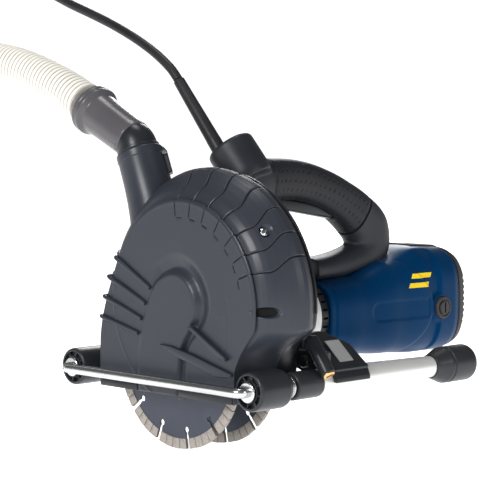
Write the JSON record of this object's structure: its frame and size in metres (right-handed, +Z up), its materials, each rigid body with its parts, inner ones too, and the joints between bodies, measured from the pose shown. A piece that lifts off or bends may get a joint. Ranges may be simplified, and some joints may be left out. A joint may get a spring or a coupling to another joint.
{
  "type": "wall chaser",
  "caption": "Wall chaser: diamond blades inside a round dust hood that rolls on axle rollers; the motor unit with its loop handle plunges about the front axle.",
  "frame": {"origin": "On the wall chase the blades stand in: X at the flat face of the hood, Y midway between the axles, Z at the lowest point of the blades at full depth.", "axes": "+X runs from the hood face towards the motor, parallel to the axles; +Y is the travel direction that the dust hose points along; +Z is up, away from the wall."},
  "size_m": [0.8982, 0.782, 0.4907],
  "materials": {
    "hood_plastic": "moulded charcoal plastic, satin",
    "black_plastic": "moulded black plastic, fine texture",
    "soft_rubber": "soft-touch black rubber",
    "blue_plastic": "moulded dark blue plastic, satin gloss",
    "grey_plastic": "moulded dark grey plastic",
    "cast_alloy": "die-cast light alloy, bead blasted",
    "satin_aluminium": "drawn tube, satin",
    "zinc_steel": "bright zinc plated steel",
    "blade_steel": "blued steel core with sintered grey-brown segments",
    "copper": "copper",
    "brass": "turned brass",
    "iron_stack": "laminated iron and hardened gear steel",
    "ivory_hose": "ivory flexible plastic",
    "carbon": "carbon or black moulding"
  },
  "bodies": {
    "carriage": {"hood_front_cover": "hood_plastic", "hood_rear_shell": "black_plastic", "hood_screw": "zinc_steel", "port_clamp_screw": "zinc_steel", "dust_elbow": "black_plastic", "dust_hose": "ivory_hose", "hose_connector": "black_plastic", "front_axle_bracket": "black_plastic", "rear_axle_bracket": "black_plastic", "front_axle_shaft": "zinc_steel", "rear_axle_shaft": "zinc_steel", "front_washer": "zinc_steel", "rear_washer": "zinc_steel", "front_spacer_ring": "zinc_steel", "rear_spacer_ring": "zinc_steel", "front_axle_tube": "satin_aluminium", "rear_axle_tube": "satin_aluminium", "tie_rod": "zinc_steel", "mains_cable": "soft_rubber", "cable_coil": "soft_rubber", "mains_plug": "soft_rubber"},
    "motor_unit": {"gear_housing": "cast_alloy", "spindle_bearing": "zinc_steel", "front_motor_bearing": "zinc_steel", "air_ring": "black_plastic", "pivot_arm": "black_plastic", "laser_barrel": "black_plastic", "lens_ring": "brass", "motor_housing": "blue_plastic", "motor_end_cap": "grey_plastic", "stator": "iron_stack", "rear_motor_bearing": "zinc_steel", "brush_cap_near": "grey_plastic", "brush_cap_far": "grey_plastic", "carbon_brush_near": "carbon", "carbon_brush_far": "carbon", "handle_near_shell": "soft_rubber", "handle_far_shell": "soft_rubber", "soft_grip": "soft_rubber", "switch_module": "carbon", "cable_guard": "soft_rubber"},
    "spindle": {"spindle_shaft": "zinc_steel", "blade_front": "blade_steel", "blade_rear": "blade_steel", "blade_spacer": "zinc_steel", "inner_flange": "zinc_steel", "clamp_nut": "zinc_steel", "drive_gear": "iron_stack"},
    "armature": {"armature_shaft": "zinc_steel", "armature_core": "iron_stack", "commutator": "copper", "cooling_fan": "black_plastic"},
    "front_left_roller": {"roller_front_left": "black_plastic"},
    "front_right_roller": {"roller_front_right": "black_plastic"},
    "rear_left_roller": {"roller_rear_left": "black_plastic"},
    "rear_right_roller": {"roller_rear_right": "black_plastic"},
    "swivel_cuff": {"hose_cuff": "black_plastic"},
    "trigger_lever": {"trigger": "black_plastic"},
    "lock_pin": {"lock_button": "black_plastic"},
    "depth_setter": {"depth_knob": "black_plastic"}
  },
  "joints": [
    {"name": "plunge", "type": "hinge", "parent": "carriage", "child": "motor_unit", "pos_m": [0, -0.131, 0.073], "axis": [1, 0, 0], "range_deg": [0, 29]},
    {"name": "spindle_turn", "type": "hinge", "parent": "motor_unit", "child": "spindle", "pos_m": [0, -0.005, 0.09], "axis": [1, 0, 0], "continuous": true},
    {"name": "armature_turn", "type": "hinge", "parent": "motor_unit", "child": "armature", "pos_m": [0, -0.005, 0.122], "axis": [1, 0, 0], "continuous": true},
    {"name": "front_left_roller_turn", "type": "hinge", "parent": "carriage", "child": "front_left_roller", "pos_m": [0, -0.131, 0.073], "axis": [1, 0, 0], "continuous": true},
    {"name": "front_right_roller_turn", "type": "hinge", "parent": "carriage", "child": "front_right_roller", "pos_m": [0, -0.131, 0.073], "axis": [1, 0, 0], "continuous": true},
    {"name": "rear_left_roller_turn", "type": "hinge", "parent": "carriage", "child": "rear_left_roller", "pos_m": [0, 0.131, 0.073], "axis": [1, 0, 0], "continuous": true},
    {"name": "rear_right_roller_turn", "type": "hinge", "parent": "carriage", "child": "rear_right_roller", "pos_m": [0, 0.131, 0.073], "axis": [1, 0, 0], "continuous": true},
    {"name": "cuff_swivel", "type": "hinge", "parent": "carriage", "child": "swivel_cuff", "pos_m": [0.042, 0.088, 0.3095], "axis": [0, 0.897, 0.442], "continuous": true},
    {"name": "trigger_press", "type": "slide", "parent": "motor_unit", "child": "trigger_lever", "axis": [0, 0, 1], "range_m": [0, 0.005], "stiffness_N_per_m": 1500, "springref_m": -0.004},
    {"name": "lock_press", "type": "slide", "parent": "motor_unit", "child": "lock_pin", "axis": [0, -1, 0], "range_m": [0, 0.003], "stiffness_N_per_m": 1000, "springref_m": -0.003},
    {"name": "depth_turn", "type": "hinge", "parent": "motor_unit", "child": "depth_setter", "pos_m": [0.088, -0.112, 0.092], "axis": [1, 0, 0], "range_deg": [-90, 90]}
  ],
  "couplings": [
    {"joint": "armature_turn", "follows": "spindle_turn", "ratio": -3}
  ]
}
